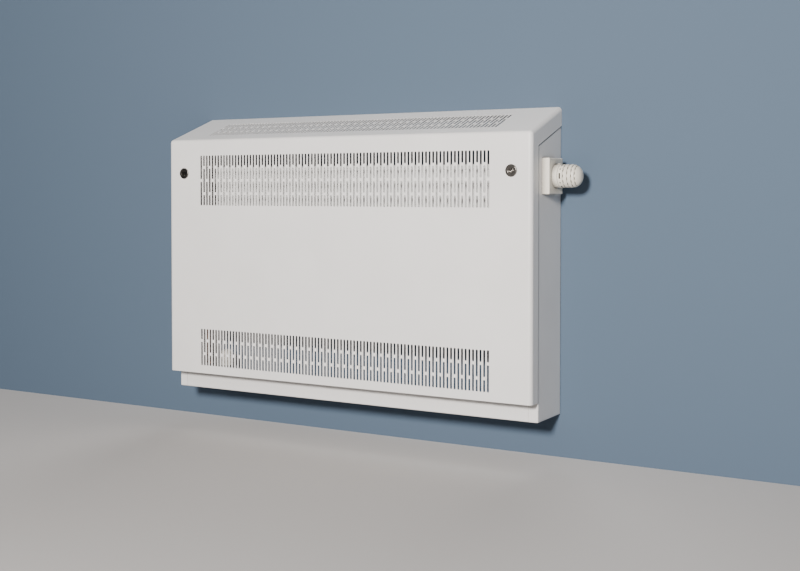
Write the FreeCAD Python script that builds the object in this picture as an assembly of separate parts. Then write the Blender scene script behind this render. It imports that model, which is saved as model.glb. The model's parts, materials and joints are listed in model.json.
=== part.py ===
import FreeCAD, Part
import math
import os
from FreeCAD import Vector

# Wall-hung low surface temperature radiator: a panel radiator inside a folded steel casing.
# Millimetres. +Z up, wall plane at y = 0, front towards -Y, x = 0 on the casing's centre line.
# The origin is the centre of the four wall fixing holes of the back frame.

# ---- casing -------------------------------------------------------------------------------
DOOR_WIDTH = 996.0
CASE_DEPTH = 160.0
CASE_BOTTOM = -354.0
DOOR_BOTTOM = -310.0
FRONT_TOP = 270.0          # where the front folds into the sloping top
CASE_TOP = 330.0           # rear edge of the sloping top
DOOR_SHEET = 1.5
SIDE_FOLD_R = 9.0
DOOR_FLANGE = 34.0         # depth of the door's side flange, from its front face
LOW_HEM = 30.0             # depth of the hem along the door's lower edge
SLOPE_FLANGE = 39.0        # the same flange measured square to the sloping top
REAR_FLANGE = 18.0

FRAME_WIDTH = 994.0
FRAME_DEPTH = 123.0
FRAME_SHEET = 1.2
FRAME_RETURN = 22.0
FRAME_FOLD_R = 3.0
FRAME_GAP = 2.0            # between the door's slanted flange edge and the frame
LIP_TOP = DOOR_BOTTOM + 8.0
LOW_RAIL_DEPTH = 22.0      # of its lower flange; the upper one is shorter
LOW_RAIL_SHELF = 12.0
TOP_RAIL_LOW = 260.0
TOP_RAIL_HEIGHT = 24.0
RAIL_SCREWS_Z = (266.0, 278.0)
RAIL_SCREW_HOLE_R = 2.7
RIVET_X = 484.0
RIVET_DZ = 17.0            # from the lock's height
RIVET_HOLE_R = 2.1

FIXING_SPACING_Z = 500.0
FIXING_X = FRAME_WIDTH / 2 - 11.0
FIXING_HOLE_R = 3.5

# ---- grilles ------------------------------------------------------------------------------
COLUMNS = 89
COLUMN_PITCH = 9.0
SLOT_WIDTH = 5.0
BRIDGE = 6.0
LONG_SLOT = 59.0
SHORT_SLOT = 26.5
UPPER_GRILLE_Z = 107.7
LOWER_GRILLE_Z = -290.7
SLOPE_GRILLE_START = 36.0

# ---- door hinge, stays and locks ----------------------------------------------------------
HINGE_Y = -152.0
HINGE_Z = DOOR_BOTTOM + 8.0
HINGE_X = 400.0
HINGE_PIN_R = 3.0
RUNNING = 0.05             # radial clearance of a turning fit
ARM_HALF = 4.0
DOOR_OPEN_DEG = 85.0
STAY_X = 468.0
STAY_SHEET = 2.5
STAY_R_OUT = 110.0
STAY_R_IN = 96.0
STOP_GAP = 0.4
LOCK_X = 450.0
LOCK_Z = 187.5
LOCK_HEAD_R = 13.5
CAM_SHEET = 2.5
CAM_FRONT_Y = -140.0

# ---- radiator -----------------------------------------------------------------------------
RAD_LENGTH = 800.0
RAD_HEIGHT = 400.0
RAD_Z = 3.0                # centre height
RAD_Y = -68.0              # centre of its thickness
RAD_DEPTH = 70.0
PANEL_T = 13.0
PANEL_STEEL = 1.3
FLUTES = 24
FLUTE_WIDTH = 22.0
TAPPING_INSET = 27.0       # from the top and bottom edges
TAPPING_X = RAD_LENGTH / 2 - 17.0
SOCKET_END = RAD_LENGTH / 2 + 4.0
SOCKET_R = 13.5
THREAD_R = 9.5             # G1/2 core
THREAD_SLACK = 0.05
BRACKET_X = 300.0
BRACKET_HOLES_Z = 200.0
BRACKET_HOLE_R = 4.0

# ---- valves -------------------------------------------------------------------------------
TOP_TAPPING_Z = RAD_Z + RAD_HEIGHT / 2 - TAPPING_INSET
LOW_TAPPING_Z = RAD_Z - RAD_HEIGHT / 2 + TAPPING_INSET
TRV_X = 455.0              # centre of the valve body
UNION_X = TRV_X - 23.0     # where the union tail meets the body
NECK_END = 482.0           # outer end of the body's neck
HEAD_BASE_X = 494.0        # back of the head, where the pin meets the sensor
GUARD_SIDE_Y = 74.0
GUARD_SIDE_Z = 78.5
GUARD_OUT = 17.0
GUARD_SHEET = 2.0
GUARD_HOLE_R = 26.5
HEAD_START = 526.5         # where the turning shell begins
HEAD_TIP = 574.0
HEAD_R = 25.0
HEAD_WALL = 2.0
HEAD_BASE_R = 25.2
DOME_FLAT_R = 3.5
SPIGOT_R = 20.0
SPIGOT_LENGTH = 3.0
WINDOWS_X = 531.5
WINDOW_WIDTH = 3.6
GROOVES_X = (538.5, 548.0, 557.0, 564.0)
GROOVE_WIDTH = 2.4
GROOVE_DEPTH = 0.9
VENT_WIDTH = 1.4
VENTS_PER_GROOVE = 12
PIN_R = 1.5
PIPE_R = 7.5
PIPE_WALL = 0.7
SOCKET_FIT = 0.05          # radial clearance round a 15 mm pipe
PIPE_BEND_R = 28.0
SHIELD = Vector(-390.0, RAD_Y, -318.0)
RETURN_LEG_X = -454.0
CAP_R = 16.0
CAP_BOTTOM = -300.0
CAP_TOP = -262.0

SLOPE = (CASE_TOP - FRONT_TOP) / CASE_DEPTH
SLOPE_ANGLE = math.atan(SLOPE)
RAD_FRONT = RAD_Y - RAD_DEPTH / 2
RAD_REAR = RAD_Y + RAD_DEPTH / 2
X_AXIS = Vector(1, 0, 0)
Y_AXIS = Vector(0, 1, 0)
Z_AXIS = Vector(0, 0, 1)


# ---- helpers ------------------------------------------------------------------------------
def box(x0, x1, y0, y1, z0, z1):
    """A block between two values on each axis."""
    return Part.makeBox(x1 - x0, y1 - y0, z1 - z0, Vector(x0, y0, z0))


def rod(start, axis, radius, length):
    """A round bar from a point along an axis."""
    return Part.makeCylinder(radius, length, start, axis)


def tube(start, axis, outer, inner, length):
    """A round tube, open at both ends."""
    return rod(start, axis, outer, length).cut(rod(start, axis, inner, length))


def hex_bar(start, axis, across_flats, length):
    """A hexagonal bar from a point along an axis."""
    corner = across_flats / math.sqrt(3)
    ring = [Vector(corner * math.cos(math.radians(60 * i)), corner * math.sin(math.radians(60 * i)), 0)
            for i in range(7)]
    bar = Part.Face(Part.makePolygon(ring)).extrude(Vector(0, 0, length))
    bar.Placement = FreeCAD.Placement(start, FreeCAD.Rotation(Z_AXIS, axis))
    return bar


def prism_x(points, x0, x1):
    """A (y, z) outline drawn out from x0 to x1."""
    ring = [Vector(x0, y, z) for y, z in points]
    return Part.Face(Part.makePolygon(ring + ring[:1])).extrude(Vector(x1 - x0, 0, 0))


def revolve_x(points, y, z):
    """An (x, radius) outline turned about the line through (y, z) along X."""
    ring = [Vector(x, y, z + r) for x, r in points]
    face = Part.Face(Part.makePolygon(ring + ring[:1]))
    return face.revolve(Vector(0, y, z), X_AXIS, 360)


def fuse(shapes):
    """Several touching or overlapping shapes joined into one clean solid."""
    whole = shapes[0].multiFuse(shapes[1:]) if len(shapes) > 1 else shapes[0]
    return whole.removeSplitter()


def round_edges(shape, radius, along, wanted=lambda centre: True):
    """Fillet the straight edges that run along an axis and whose centres pass a test."""
    edges = [e for e in shape.Edges if abs(e.tangentAt(e.FirstParameter).dot(along)) > 0.99
             and e.Curve.TypeId == "Part::GeomLine" and wanted(e.CenterOfMass)]
    return shape.makeFillet(radius, edges)


def near(a, b):
    return abs(a - b) < 0.01


def mirrored(shape):
    """The same piece on the other side of the centre line."""
    return shape.mirror(Vector(0, 0, 0), X_AXIS)


def slope_z(y, drop=0.0):
    """Height of the sloping top over y, or of a line that lies drop square below it."""
    return FRONT_TOP + (y + CASE_DEPTH) * SLOPE - drop / math.cos(SLOPE_ANGLE)


# ---- grilles ------------------------------------------------------------------------------
def slot_face(x, low, high):
    """One round-ended slot in the XZ plane."""
    r = SLOT_WIDTH / 2
    a, b = Vector(x - r, 0, low + r), Vector(x + r, 0, low + r)
    c, d = Vector(x + r, 0, high - r), Vector(x - r, 0, high - r)
    edges = [Part.LineSegment(b, c), Part.Arc(c, Vector(x, 0, high), d),
             Part.LineSegment(d, a), Part.Arc(a, Vector(x, 0, low), b)]
    return Part.Face(Part.Wire([e.toShape() for e in edges]))


def grille_slots(start, odd_run, even_run):
    """Cutting tools for one grille: columns of slots whose bridges step from column to column."""
    tools = []
    for column in range(COLUMNS):
        x = (column - (COLUMNS - 1) / 2) * COLUMN_PITCH
        low = start
        for length in (odd_run if column % 2 == 0 else even_run):
            face = slot_face(x, low, low + length)
            face.translate(Vector(0, -3, 0))
            tools.append(face.extrude(Vector(0, 6, 0)))
            low += length + BRIDGE
    return Part.makeCompound(tools)


def upper_slots():
    tools = grille_slots(UPPER_GRILLE_Z, (LONG_SLOT, LONG_SLOT), (SHORT_SLOT, LONG_SLOT, SHORT_SLOT))
    tools.translate(Vector(0, -CASE_DEPTH, 0))
    return tools


def lower_slots():
    tools = grille_slots(LOWER_GRILLE_Z, (LONG_SLOT, SHORT_SLOT), (SHORT_SLOT, LONG_SLOT))
    tools.translate(Vector(0, -CASE_DEPTH, 0))
    return tools


def slope_slots():
    tools = grille_slots(SLOPE_GRILLE_START, (LONG_SLOT, SHORT_SLOT), (SHORT_SLOT, LONG_SLOT))
    tools.rotate(Vector(0, 0, 0), X_AXIS, -(90 - math.degrees(SLOPE_ANGLE)))
    tools.translate(Vector(0, -CASE_DEPTH, FRONT_TOP))
    return tools


# ---- door ---------------------------------------------------------------------------------
def door_form(inset):
    """The door's solid form, or the space inside it when inset is the sheet's thickness."""
    half = DOOR_WIDTH / 2 - inset
    front = -CASE_DEPTH + inset
    rear = -inset
    low = DOOR_BOTTOM + inset
    if inset:
        edge = -CASE_DEPTH + 2 * DOOR_FLANGE
        back = [(rear, slope_z(rear, 2 * SLOPE_FLANGE)), (edge, slope_z(edge, 2 * SLOPE_FLANGE)),
                (edge, low)]
    else:
        edge = -CASE_DEPTH + DOOR_FLANGE
        back = [(rear, slope_z(rear, SLOPE_FLANGE)), (edge, slope_z(edge, SLOPE_FLANGE)), (edge, low)]
    fold_z = slope_z(front, inset)
    form = prism_x([(front, low), (front, fold_z), (rear, slope_z(rear, inset))] + back, -half, half)

    def on_side_fold(p):
        on_front = near(p.y, front)
        on_slope = near(p.z, slope_z(p.y, inset))
        return near(abs(p.x), half) and (on_front or on_slope)

    def on_top_fold(p):
        return near(p.y, front) and near(p.z, fold_z)

    edges_side = [e for e in form.Edges if abs(e.tangentAt(e.FirstParameter).x) < 0.5
                  and all(on_side_fold(v.Point) for v in e.Vertexes)
                  and not all(near(v.Point.z, low) for v in e.Vertexes)]
    edges_top = [e for e in form.Edges if all(on_top_fold(v.Point) for v in e.Vertexes)]
    form = form.makeFillet(SIDE_FOLD_R - inset, edges_side + edges_top)
    return form


def front_door():
    """Front, sloping top, side flanges and hems folded from one sheet, with its three grilles."""
    half = DOOR_WIDTH / 2
    door = door_form(0.0).cut(door_form(DOOR_SHEET))
    trims = [box(-half + SIDE_FOLD_R, half - SIDE_FOLD_R, -DOOR_SHEET - 1, 1,
                 slope_z(0, SLOPE_FLANGE) - 1, CASE_TOP - REAR_FLANGE),
             box(-half + DOOR_SHEET, half - DOOR_SHEET, -CASE_DEPTH + LOW_HEM, -CASE_DEPTH + 2 * LOW_HEM,
                 DOOR_BOTTOM - 1, DOOR_BOTTOM + DOOR_SHEET + 1)]
    for side in (-1, 1):
        x = side * HINGE_X
        trims.append(box(x - ARM_HALF - 2, x + ARM_HALF + 2, HINGE_Y - 5, -CASE_DEPTH + 2 * LOW_HEM,
                         DOOR_BOTTOM - 1, DOOR_BOTTOM + DOOR_SHEET + 0.001))
        trims.append(rod(Vector(side * LOCK_X, -CASE_DEPTH - 2, LOCK_Z), Y_AXIS, 9.6, 6))
    for tool in trims + [upper_slots(), lower_slots(), slope_slots()]:
        door = door.cut(tool)
    return door


def door_stiffener():
    """Top-hat channel welded across the back of the plain part of the door."""
    rear = -CASE_DEPTH + DOOR_SHEET
    z, half, foot, depth, sheet = -46.0, 20.0, 12.0, 12.0, 1.2
    outline = [(rear, z - half - foot), (rear + sheet, z - half - foot), (rear + sheet, z - half),
               (rear + depth, z - half), (rear + depth, z + half), (rear + sheet, z + half),
               (rear + sheet, z + half + foot), (rear, z + half + foot), (rear, z + half - sheet),
               (rear + depth - sheet, z + half - sheet), (rear + depth - sheet, z - half + sheet),
               (rear, z - half + sheet)]
    return prism_x(outline, -430.0, 430.0)


def stay_stop_angle():
    """Angle from vertical at which the stay's stop tab meets the frame when the door is open."""
    reach = (-FRAME_DEPTH + FRAME_SHEET + STOP_GAP) - HINGE_Y
    return math.degrees(math.asin(reach / STAY_R_IN))


def door_stay():
    """Right-hand quadrant stay: a plate arc about the hinge line, with a foot and a stop tab."""
    x0, x1 = STAY_X - STAY_SHEET / 2, STAY_X + STAY_SHEET / 2
    end = stay_stop_angle() + DOOR_OPEN_DEG
    sheet_back = -CASE_DEPTH + DOOR_SHEET

    def at(radius, degrees, x):
        a = math.radians(degrees)
        return Vector(x, HINGE_Y + radius * math.sin(a), HINGE_Z + radius * math.cos(a))

    def arc(radius, a0, a1):
        return Part.Arc(at(radius, a0, x0), at(radius, (a0 + a1) / 2, x0), at(radius, a1, x0)).toShape()

    first, last = 0.0, end + 4.0
    outline = Part.Wire([arc(STAY_R_OUT, first, last),
                         Part.makeLine(at(STAY_R_OUT, last, x0), at(STAY_R_IN, last, x0)),
                         arc(STAY_R_IN, last, first),
                         Part.makeLine(at(STAY_R_IN, first, x0), at(STAY_R_OUT, first, x0))])
    quadrant = Part.Face(outline).extrude(Vector(STAY_SHEET, 0, 0))
    top = HINGE_Z + STAY_R_OUT
    web = box(x0, x1, sheet_back, HINGE_Y + 2, top - 52, top)
    foot = box(x0, x1 + 14, sheet_back, sheet_back + STAY_SHEET, top - 52, top)
    tab = box(x0, x1 + 14, 0, STAY_SHEET, STAY_R_IN, STAY_R_OUT)
    tab.rotate(Vector(0, 0, 0), X_AXIS, -end)
    tab.translate(Vector(0, HINGE_Y, HINGE_Z))
    return fuse([quadrant, web, foot, tab])


def door_hinge_block():
    """Right-hand hinge block on the door: two ears and a web, bored for the pin."""
    front = -CASE_DEPTH + DOOR_SHEET
    low = DOOR_BOTTOM + DOOR_SHEET
    inner, outer = ARM_HALF + 0.4, ARM_HALF + 4.4
    web = box(HINGE_X - outer, HINGE_X + outer, front, front + 1.8, low, HINGE_Z + 7)
    ears = [box(min(s * inner, s * outer) + HINGE_X, max(s * inner, s * outer) + HINGE_X,
                front, HINGE_Y + 7, low, HINGE_Z + 7) for s in (-1, 1)]
    block = fuse([web] + ears)
    return block.cut(rod(Vector(HINGE_X - 20, HINGE_Y, HINGE_Z), X_AXIS, HINGE_PIN_R + RUNNING, 40))


# ---- locks --------------------------------------------------------------------------------
def lock_point(y):
    return Vector(LOCK_X, y, LOCK_Z)


def lock_housing():
    """Round head and threaded barrel housing of a quarter-turn lock."""
    head = rod(lock_point(-CASE_DEPTH - 2.6), Y_AXIS, LOCK_HEAD_R, 2.6)
    head = head.makeChamfer(0.9, [e for e in head.Edges if near(e.CenterOfMass.y, -CASE_DEPTH - 2.6)])
    barrel = rod(lock_point(-CASE_DEPTH), Y_AXIS, 9.5, CASE_DEPTH + CAM_FRONT_Y - 0.3)
    housing = fuse([head, barrel])
    housing = housing.cut(rod(lock_point(-CASE_DEPTH - 5), Y_AXIS, 8.0 + RUNNING, 6.5))
    return housing.cut(rod(lock_point(-CASE_DEPTH - 5), Y_AXIS, 6.0 + RUNNING, 30))


def lock_nut():
    """Thin hexagon nut that clamps the housing to the door sheet."""
    start = -CASE_DEPTH + DOOR_SHEET
    return hex_bar(lock_point(start), Y_AXIS, 24.0, 4.0).cut(rod(lock_point(start), Y_AXIS, 9.5, 4.0))


def lock_cylinder():
    """Turning barrel with a three-cornered drive post in a round cup, and a square tail."""
    face_y = -CASE_DEPTH - 1.2
    shoulder = rod(lock_point(face_y), Y_AXIS, 8.0, 2.5)
    barrel = rod(lock_point(face_y), Y_AXIS, 6.0, CAM_FRONT_Y - face_y)
    tail = box(LOCK_X - 4, LOCK_X + 4, CAM_FRONT_Y - 1, CAM_FRONT_Y + CAM_SHEET - 0.1,
               LOCK_Z - 4, LOCK_Z + 4)
    solid = fuse([shoulder, barrel, tail])
    cup = rod(lock_point(face_y), Y_AXIS, 5.2, 7)
    corners = [Vector(LOCK_X + 3.6 * math.sin(math.radians(a)), face_y,
                      LOCK_Z + 3.6 * math.cos(math.radians(a))) for a in (0, 120, 240, 0)]
    post = Part.Face(Part.makePolygon(corners)).extrude(Vector(0, 7, 0))
    solid = solid.cut(cup.cut(post))
    return solid.cut(rod(lock_point(CAM_FRONT_Y - 6), Y_AXIS, 2.1, 12))


def lock_cam():
    """Flat cam that points up when unlocked and outwards when locked."""
    y0, y1 = CAM_FRONT_Y, CAM_FRONT_Y + CAM_SHEET
    reach = 31.0
    plate = fuse([rod(lock_point(y0), Y_AXIS, 9.0, CAM_SHEET),
                  box(LOCK_X - 7, LOCK_X + 7, y0, y1, LOCK_Z, LOCK_Z + reach)])
    plate = round_edges(plate, 3.0, Y_AXIS, lambda c: near(c.z, LOCK_Z + reach))
    hole = box(LOCK_X - 4.05, LOCK_X + 4.05, y0 - 1, y1 + 1, LOCK_Z - 4.05, LOCK_Z + 4.05)
    return plate.cut(hole)


def lock_cam_screw():
    """Screw and washer head that hold the cam on the barrel's square tail."""
    start = CAM_FRONT_Y + CAM_SHEET
    head = rod(lock_point(start), Y_AXIS, 6.5, 3.0)
    head = head.cut(hex_bar(lock_point(start + 1.2), Y_AXIS, 4.0, 3.0))
    return fuse([head, rod(lock_point(CAM_FRONT_Y - 4), Y_AXIS, 2.0, CAM_SHEET + 4.5)])


def lock_keeper():
    """Right-hand C-shaped keeper that the cam turns behind."""
    x_in, x_out = 476.0, 494.0
    z0, z1 = LOCK_Z - RIVET_DZ - 7, LOCK_Z + RIVET_DZ + 7
    front = CAM_FRONT_Y - 2.0
    base = box(x_in, x_out, -FRAME_DEPTH - 1.5, -FRAME_DEPTH, z0, z1)
    web = box(x_out - 1.5, x_out, front, -FRAME_DEPTH, z0, z1)
    plate = box(x_in - 4, x_out, front, front + 1.5, z0, z1)
    keeper = fuse([base, web, plate])
    for z in (z0 + 7, z1 - 7):
        keeper = keeper.cut(rod(Vector(RIVET_X, -FRAME_DEPTH - 5, z), Y_AXIS, RIVET_HOLE_R, 10))
    return keeper


def keeper_rivets():
    """Blind rivets through each keeper and the frame's return."""
    rivets = []
    for side in (-1, 1):
        for z in (LOCK_Z - RIVET_DZ, LOCK_Z + RIVET_DZ):
            at = Vector(side * RIVET_X, -FRAME_DEPTH - 1.5, z)
            head = Part.makeSphere(5.0, at + Vector(0, 3.6, 0)).common(
                rod(at + Vector(0, -2, 0), Y_AXIS, 4.0, 2))
            rivets.append(fuse([head, rod(at, Y_AXIS, 2.0, 3.6)]))
    return Part.makeCompound(rivets)


def door_buffers():
    """Rubber buffers on the keepers that the closed door rests against."""
    front = CAM_FRONT_Y - 2.0
    length = front - (-CASE_DEPTH + DOOR_SHEET) - 0.3
    buffers = []
    for side in (-1, 1):
        start = Vector(side * 482, front - length, LOCK_Z + 16)
        buffer = rod(start, Y_AXIS, 5.0, length)
        rim = [e for e in buffer.Edges if near(e.CenterOfMass.y, start.y)]
        buffers.append(buffer.makeChamfer(0.8, rim))
    return Part.makeCompound(buffers)


# ---- back frame ---------------------------------------------------------------------------
def side_panel_form(inset):
    """Right-hand side tray's solid form, or the space inside it."""
    drop = SLOPE_FLANGE + FRAME_GAP + inset
    front, rear, low = -FRAME_DEPTH + inset, -inset, CASE_BOTTOM + inset
    outer_x = FRAME_WIDTH / 2 - inset
    inner_x = FRAME_WIDTH / 2 - FRAME_RETURN - (5 if inset else 0)
    points = [(front, low), (front, slope_z(front, drop)), (rear, slope_z(rear, drop)), (rear, low)]
    form = prism_x(points, inner_x, outer_x)

    def on_rim(p):
        return near(p.x, outer_x)

    folds = [e for e in form.Edges if all(on_rim(v.Point) for v in e.Vertexes)]
    corners = [e for e in form.Edges if abs(e.tangentAt(e.FirstParameter).x) > 0.9
               and all(near(v.Point.y, front) for v in e.Vertexes)]
    return form.makeFillet(FRAME_FOLD_R - inset, folds + corners)


def side_panel():
    """Right-hand side of the back frame: a folded tray with the wall fixing holes."""
    panel = side_panel_form(0.0).cut(side_panel_form(FRAME_SHEET))
    for z in (-FIXING_SPACING_Z / 2, FIXING_SPACING_Z / 2):
        panel = panel.cut(rod(Vector(FIXING_X, -5, z), Y_AXIS, FIXING_HOLE_R, 10))
    for z in (LOCK_Z - RIVET_DZ, LOCK_Z + RIVET_DZ):
        panel = panel.cut(rod(Vector(RIVET_X, -FRAME_DEPTH - 5, z), Y_AXIS, RIVET_HOLE_R, 10))
    for z in RAIL_SCREWS_Z:
        panel = panel.cut(rod(Vector(FIXING_X, -5, z), Y_AXIS, RAIL_SCREW_HOLE_R, 10))
    return panel


def side_panel_right():
    """The valve side, with the opening for the thermostatic head and its guard's screws."""
    panel = side_panel().cut(rod(Vector(480, RAD_Y, TOP_TAPPING_Z), X_AXIS, 31.0, 30))
    for point in guard_screw_points():
        panel = panel.cut(rod(Vector(480, point[0], point[1]), X_AXIS, 2.1, 30))
    return panel


def bottom_rail():
    """C-shaped rail between the side trays: its front is the lip seen below the door."""
    half = FRAME_WIDTH / 2 - FRAME_RETURN - 0.2
    t, r = FRAME_SHEET, FRAME_FOLD_R
    rear, shelf = -FRAME_DEPTH + LOW_RAIL_DEPTH, -FRAME_DEPTH + LOW_RAIL_SHELF
    block = box(-half, half, -FRAME_DEPTH, rear, CASE_BOTTOM, LIP_TOP)
    hollow = box(-half - 1, half + 1, -FRAME_DEPTH + t, rear + 2, CASE_BOTTOM + t, LIP_TOP - t)
    block = round_edges(block, r, X_AXIS, lambda c: near(c.y, -FRAME_DEPTH))
    hollow = round_edges(hollow, r - t, X_AXIS, lambda c: near(c.y, -FRAME_DEPTH + t))
    return block.cut(hollow).cut(box(-half - 1, half + 1, shelf, rear + 2, LIP_TOP - 3, LIP_TOP + 1))


def top_rail():
    """Angle that ties the two side trays together at the wall, above the radiator."""
    t, rear = FRAME_SHEET, -FRAME_SHEET
    z0, z1 = TOP_RAIL_LOW, TOP_RAIL_LOW + TOP_RAIL_HEIGHT
    outline = [(rear, z0), (rear, z1), (rear - t, z1), (rear - t, z0 + t), (rear - 16, z0 + t),
               (rear - 16, z0)]
    half = FRAME_WIDTH / 2 - FRAME_FOLD_R - 1
    rail = prism_x(outline, -half, half)
    for side in (-1, 1):
        for z in RAIL_SCREWS_Z:
            rail = rail.cut(rod(Vector(side * FIXING_X, -5, z), Y_AXIS, RAIL_SCREW_HOLE_R, 10))
    return rail


def top_rail_screws():
    """Pan-head screws through the top rail and the side trays' returns."""
    screws = []
    for side in (-1, 1):
        for z in RAIL_SCREWS_Z:
            at = Vector(side * FIXING_X, -2 * FRAME_SHEET - 2.4, z)
            head = rod(at, Y_AXIS, 4.5, 2.4)
            head = head.makeFillet(1.2, [e for e in head.Edges if near(e.CenterOfMass.y, at.y)])
            shank = rod(at + Vector(0, 2.3, 0), Y_AXIS, 2.4, 2 * FRAME_SHEET)
            slot = box(at.x - 3, at.x + 3, at.y - 1, at.y + 0.9, z - 0.5, z + 0.5)
            screws.append(fuse([head, shank]).cut(slot))
    return Part.makeCompound(screws)


def corner_gusset():
    """Right-hand plate welded behind the joint of the bottom rail and the side tray."""
    back = -FRAME_DEPTH + FRAME_SHEET
    plate = box(455.0, 493.0, back, back + 1.5, CASE_BOTTOM + 4, LIP_TOP - 4)
    return round_edges(plate, 5.0, Y_AXIS, lambda c: near(c.x, 455.0))


def hinge_arm():
    """Right-hand hinge arm on the bottom rail, with a foot on the rail's top flange."""
    x0, x1 = HINGE_X - ARM_HALF, HINGE_X + ARM_HALF
    nose = rod(Vector(x0, HINGE_Y, HINGE_Z), X_AXIS, ARM_HALF, 2 * ARM_HALF)
    bar = box(x0, x1, HINGE_Y, -FRAME_DEPTH, HINGE_Z - ARM_HALF, HINGE_Z + ARM_HALF)
    shelf_end = -FRAME_DEPTH + LOW_RAIL_SHELF - 1
    shelf = box(x0, x1, -FRAME_DEPTH, shelf_end, HINGE_Z, HINGE_Z + ARM_HALF)
    foot = box(x0 - 14, x1 + 14, -FRAME_DEPTH + FRAME_FOLD_R, shelf_end, HINGE_Z, HINGE_Z + 1.8)
    arm = fuse([nose, bar, shelf, foot])
    return arm.cut(rod(Vector(x0 - 1, HINGE_Y, HINGE_Z), X_AXIS, HINGE_PIN_R + 0.02, 2 * ARM_HALF + 2))


def hinge_pin():
    """Right-hand hinge pin with a head on its inner end and a groove for its clip."""
    start = HINGE_X - 10.5
    head = rod(Vector(start - 1.5, HINGE_Y, HINGE_Z), X_AXIS, 4.8, 1.5)
    pin = fuse([head, rod(Vector(start - 1.5, HINGE_Y, HINGE_Z), X_AXIS, HINGE_PIN_R, 23.5)])
    groove = tube(Vector(HINGE_X + 9.4, HINGE_Y, HINGE_Z), X_AXIS, 5, 2.4, 1.0)
    return pin.cut(groove)


def hinge_clips():
    """Spring clips in the grooves of the two hinge pins."""
    clips = []
    for side in (-1, 1):
        x = side * (HINGE_X + 9.9) - 0.4
        ring = tube(Vector(x, HINGE_Y, HINGE_Z), X_AXIS, 5.0, 2.45, 0.8)
        clips.append(ring.cut(box(x - 1, x + 2, HINGE_Y - 1.2, HINGE_Y + 1.2, HINGE_Z, HINGE_Z + 8)))
    return Part.makeCompound(clips)


def guard_screw_points():
    """(y, z) of the two screws that hold the valve guard to the side tray."""
    dy = GUARD_SIDE_Y / 2 - 5.0
    dz = GUARD_SIDE_Z / 2 - 5.0
    return [(RAD_Y + dy, TOP_TAPPING_Z - dz), (RAD_Y - dy, TOP_TAPPING_Z - dz),
            (RAD_Y + dy, TOP_TAPPING_Z + dz), (RAD_Y - dy, TOP_TAPPING_Z + dz)]


def guard_box():
    """Square guard round the valve's neck, with four screw pillars inside its corners."""
    x0 = FRAME_WIDTH / 2
    x1 = x0 + GUARD_OUT
    hy, hz = GUARD_SIDE_Y / 2, GUARD_SIDE_Z / 2
    outer = box(x0, x1, RAD_Y - hy, RAD_Y + hy, TOP_TAPPING_Z - hz, TOP_TAPPING_Z + hz)
    outer = outer.makeFillet(2.5, [e for e in outer.Edges if not near(e.CenterOfMass.x, x0)])
    t = GUARD_SHEET
    hollow = box(x0 - 1, x1 - t, RAD_Y - hy + t, RAD_Y + hy - t,
                 TOP_TAPPING_Z - hz + t, TOP_TAPPING_Z + hz - t)
    guard = outer.cut(hollow)
    pillars = [rod(Vector(x0, y, z), X_AXIS, 4.0, GUARD_OUT - 1) for y, z in guard_screw_points()]
    guard = fuse([guard] + pillars)
    for y, z in guard_screw_points():
        guard = guard.cut(rod(Vector(x0 - 1, y, z), X_AXIS, 1.6, 12))
    return guard.cut(rod(Vector(x0, RAD_Y, TOP_TAPPING_Z), X_AXIS, GUARD_HOLE_R, 30))


def guard_screws():
    """Screws from inside the side tray into the guard's pillars."""
    inner = FRAME_WIDTH / 2 - FRAME_SHEET
    screws = []
    for y, z in guard_screw_points():
        head = rod(Vector(inner - 2.0, y, z), X_AXIS, 3.6, 2.0)
        head = head.makeFillet(0.8, [e for e in head.Edges if near(e.CenterOfMass.x, inner - 2.0)])
        slot = box(inner - 2.5, inner - 1.2, y - 2.6, y + 2.6, z - 0.4, z + 0.4)
        screws.append(fuse([head, rod(Vector(inner - 0.5, y, z), X_AXIS, 1.55, 10.0)]).cut(slot))
    return Part.makeCompound(screws)


# ---- radiator -----------------------------------------------------------------------------
def flute_xs():
    pitch = RAD_LENGTH / FLUTES
    return [-RAD_LENGTH / 2 + pitch * (i + 0.5) for i in range(FLUTES)]


def panel_ways(inset):
    """Headers and upright flutes of one panel, centred on y = 0, shrunk by inset."""
    half_t = PANEL_T / 2 - inset
    low, high = LOW_TAPPING_Z, TOP_TAPPING_Z
    ways = []
    for z in (low, high):
        header = box(-RAD_LENGTH / 2 + 3 + inset, RAD_LENGTH / 2 - 3 - inset, -half_t, half_t,
                     z - 17 + inset, z + 17 - inset)
        ways.append(round_edges(header, 5.0 - inset, X_AXIS))
    for x in flute_xs():
        half_w = FLUTE_WIDTH / 2 - inset
        flute = box(x - half_w, x + half_w, -half_t, half_t, low, high)
        ways.append(round_edges(flute, 5.0 - inset, Z_AXIS))
    return fuse(ways)


def radiator_panel(centre_y, port_side):
    """One pressed panel: two sheets welded round their edges and between their water ways."""
    skin = box(-RAD_LENGTH / 2, RAD_LENGTH / 2, -PANEL_STEEL, PANEL_STEEL,
               RAD_Z - RAD_HEIGHT / 2, RAD_Z + RAD_HEIGHT / 2)
    panel = fuse([skin, panel_ways(0.0)]).cut(panel_ways(PANEL_STEEL))
    for x in (-TAPPING_X, TAPPING_X):
        for z in (LOW_TAPPING_Z, TOP_TAPPING_Z):
            start = Vector(x, 0 if port_side > 0 else -20, z)
            panel = panel.cut(rod(start, Y_AXIS, 8.0, 20))
    panel.translate(Vector(0, centre_y, 0))
    return panel


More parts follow.
